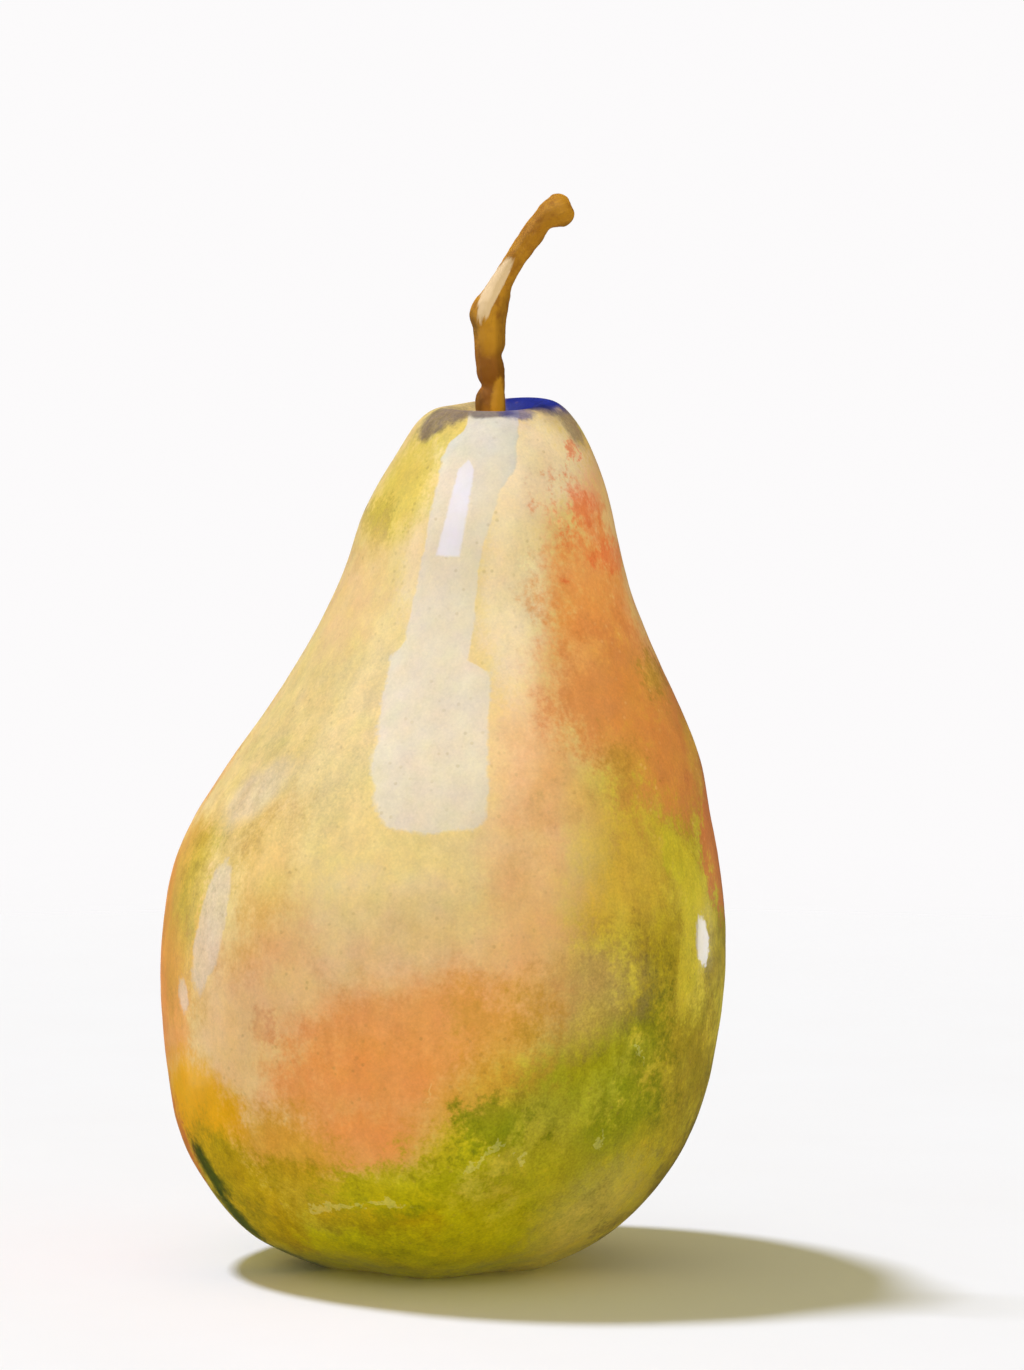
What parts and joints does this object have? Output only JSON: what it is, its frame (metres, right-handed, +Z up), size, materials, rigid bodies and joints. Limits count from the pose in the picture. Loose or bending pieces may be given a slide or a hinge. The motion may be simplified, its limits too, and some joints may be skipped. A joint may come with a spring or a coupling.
{
  "type": "pear",
  "caption": "Ripe whole pear with a bent woody stem and a dried calyx underneath, standing upright on its low lobes.",
  "frame": {"origin": "on the surface the pear stands on, under the middle of its bounding box", "axes": "+Z up from the calyx end to the stem; +X towards the side that the stem and neck lean to; -Y is the side that is meant to be seen, with the red blush on its right"},
  "size_m": [0.068, 0.0662, 0.1291],
  "materials": {
    "pear_skin": "waxy satin skin, yellow ground with orange-red blush, green at the foot and right side, russet round the stem and calyx, fine lenticels",
    "stem_bark": "dry woody bark, golden brown, darker near the fruit",
    "dried_calyx": "dull, papery, dark brown"
  },
  "bodies": {
    "root": {"fruit": "pear_skin", "stem": "stem_bark", "calyx": "dried_calyx"}
  },
  "joints": []
}
